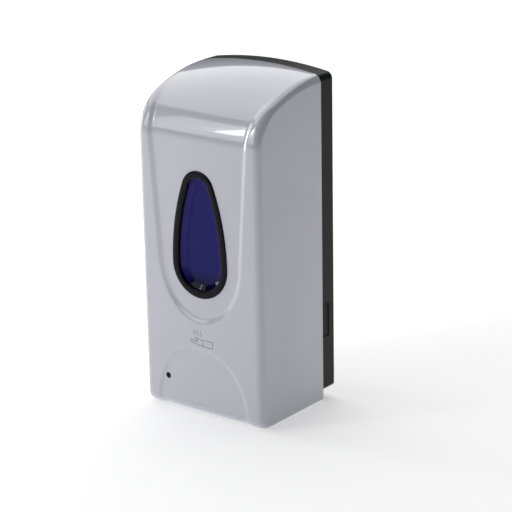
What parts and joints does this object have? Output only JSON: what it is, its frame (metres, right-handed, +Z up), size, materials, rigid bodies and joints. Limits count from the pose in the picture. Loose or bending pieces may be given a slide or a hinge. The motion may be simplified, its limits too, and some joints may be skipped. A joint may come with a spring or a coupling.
{
  "type": "wall mounted soap dispenser",
  "caption": "Wall mounted touch-free soap dispenser: crowned cover with a teardrop window that tips down on a bottom hinge, tank with refill lid, and a geared hose pump over a floor nozzle.",
  "frame": {"origin": "centre of the four wall screw holes on the back plane of the wall plate", "axes": "+X to the right seen from the room, +Y into the wall, +Z up; the room is on the -Y side"},
  "size_m": [0.115, 0.0938, 0.265],
  "materials": {
    "white_abs": "glossy, fine moulded grain",
    "plate_plastic": "satin dark plastic",
    "black_gloss": "glossy black",
    "window_blue": "clear blue tint",
    "clear_guide": "smoked clear",
    "tank_plastic": "frosted polypropylene",
    "chassis_plastic": "satin grey-white",
    "screw_steel": "zinc plated",
    "pin_steel": "ground",
    "seal_rubber": "matt",
    "silicone": "translucent silicone",
    "acetal": "natural acetal",
    "motor_can": "bright can",
    "board_green": "solder mask",
    "part_black": "moulded epoxy",
    "cell_wrap": "printed sleeve, plain",
    "contact_metal": "nickel plated",
    "lamp_lens": "tinted epoxy",
    "control_grey": "satin"
  },
  "bodies": {
    "housing": {"rear_plate": "plate_plastic", "hinge_pins": "pin_steel", "tank": "tank_plastic", "outlet_seal": "seal_rubber", "outlet_strainer": "acetal", "tank_screws": "screw_steel", "lid_pin": "pin_steel", "chassis": "chassis_plastic", "chassis_screws": "screw_steel", "service_panel": "chassis_plastic", "panel_screws": "screw_steel", "batteries": "cell_wrap", "battery_contacts": "contact_metal", "pump_housing": "acetal", "pump_screws": "screw_steel", "pump_lid": "acetal", "pump_tube": "silicone", "reduction_pin": "pin_steel", "gear_plate": "chassis_plastic", "pump_motor": "motor_can", "inlet_tube": "silicone", "outlet_tube": "silicone", "nozzle": "white_abs", "nozzle_tip": "silicone", "sensor_window": "black_gloss", "sensor_board": "board_green", "ir_emitter": "clear_guide", "ir_receiver": "part_black", "control_board": "board_green", "board_spacers": "acetal", "board_screws": "screw_steel", "board_components": "part_black", "capacitor_1": "control_grey", "capacitor_2": "control_grey", "switch_body": "part_black", "dial_body": "part_black", "status_lamp": "lamp_lens"},
    "cover": {"front_cover": "white_abs", "window_bezel": "black_gloss", "window_lens": "window_blue", "status_light_guide": "clear_guide"},
    "left_latch": {"left_latch": "black_gloss"},
    "right_latch": {"right_latch": "black_gloss"},
    "lid": {"refill_lid": "tank_plastic", "lid_seal": "seal_rubber"},
    "battery_door": {"battery_door": "chassis_plastic"},
    "rotor": {"pump_rotor": "acetal", "roller_pins": "pin_steel", "rotor_gear": "acetal"},
    "roller_1": {"roller_1": "acetal"},
    "roller_2": {"roller_2": "acetal"},
    "roller_3": {"roller_3": "acetal"},
    "reduction": {"reduction_gear": "acetal"},
    "motor_rotor": {"motor_pinion": "pin_steel", "motor_shaft": "pin_steel"},
    "power_slide": {"power_slide": "control_grey"},
    "dose_dial": {"dose_dial": "control_grey"}
  },
  "joints": [
    {"name": "cover_hinge", "type": "hinge", "parent": "housing", "child": "cover", "pos_m": [0, -0.0165, -0.145], "axis": [1, 0, 0], "range_deg": [0, 95]},
    {"name": "left_latch_push", "type": "slide", "parent": "housing", "child": "left_latch", "axis": [1, 0, 0], "range_m": [0, 0.0025], "stiffness_N_per_m": 1200},
    {"name": "right_latch_push", "type": "slide", "parent": "housing", "child": "right_latch", "axis": [-1, 0, 0], "range_m": [0, 0.0025], "stiffness_N_per_m": 1200},
    {"name": "refill_lid_hinge", "type": "hinge", "parent": "housing", "child": "lid", "pos_m": [0, -0.0205, 0.071], "axis": [-1, 0, 0], "range_deg": [0, 80]},
    {"name": "battery_door_slide", "type": "slide", "parent": "housing", "child": "battery_door", "axis": [0, 0, 1], "range_m": [0, 0.032]},
    {"name": "rotor_turn", "type": "hinge", "parent": "housing", "child": "rotor", "pos_m": [-0.026, -0.065, -0.11], "axis": [0, 1, 0], "continuous": true},
    {"name": "reduction_turn", "type": "hinge", "parent": "housing", "child": "reduction", "pos_m": [-0.026, -0.052, -0.093], "axis": [0, 1, 0], "continuous": true},
    {"name": "motor_turn", "type": "hinge", "parent": "housing", "child": "motor_rotor", "pos_m": [-0.026, -0.05, -0.11], "axis": [0, 1, 0], "continuous": true},
    {"name": "roller_1_spin", "type": "hinge", "parent": "rotor", "child": "roller_1", "pos_m": [-0.026, -0.0667, -0.0998], "axis": [0, 1, 0], "continuous": true},
    {"name": "roller_2_spin", "type": "hinge", "parent": "rotor", "child": "roller_2", "pos_m": [-0.03483, -0.0667, -0.1151], "axis": [0, 1, 0], "continuous": true},
    {"name": "roller_3_spin", "type": "hinge", "parent": "rotor", "child": "roller_3", "pos_m": [-0.01717, -0.0667, -0.1151], "axis": [0, 1, 0], "continuous": true},
    {"name": "power_slide_move", "type": "slide", "parent": "housing", "child": "power_slide", "axis": [1, 0, 0], "range_m": [0, 0.004]},
    {"name": "dose_dial_turn", "type": "hinge", "parent": "housing", "child": "dose_dial", "pos_m": [-0.028, -0.085, -0.078], "axis": [0, -1, 0], "range_deg": [-60, 60]}
  ],
  "couplings": [
    {"joint": "reduction_turn", "follows": "rotor_turn", "ratio": -3},
    {"joint": "motor_turn", "follows": "rotor_turn", "ratio": 9},
    {"joint": "roller_1_spin", "follows": "rotor_turn", "ratio": -4.1875},
    {"joint": "roller_2_spin", "follows": "rotor_turn", "ratio": -4.1875},
    {"joint": "roller_3_spin", "follows": "rotor_turn", "ratio": -4.1875}
  ]
}
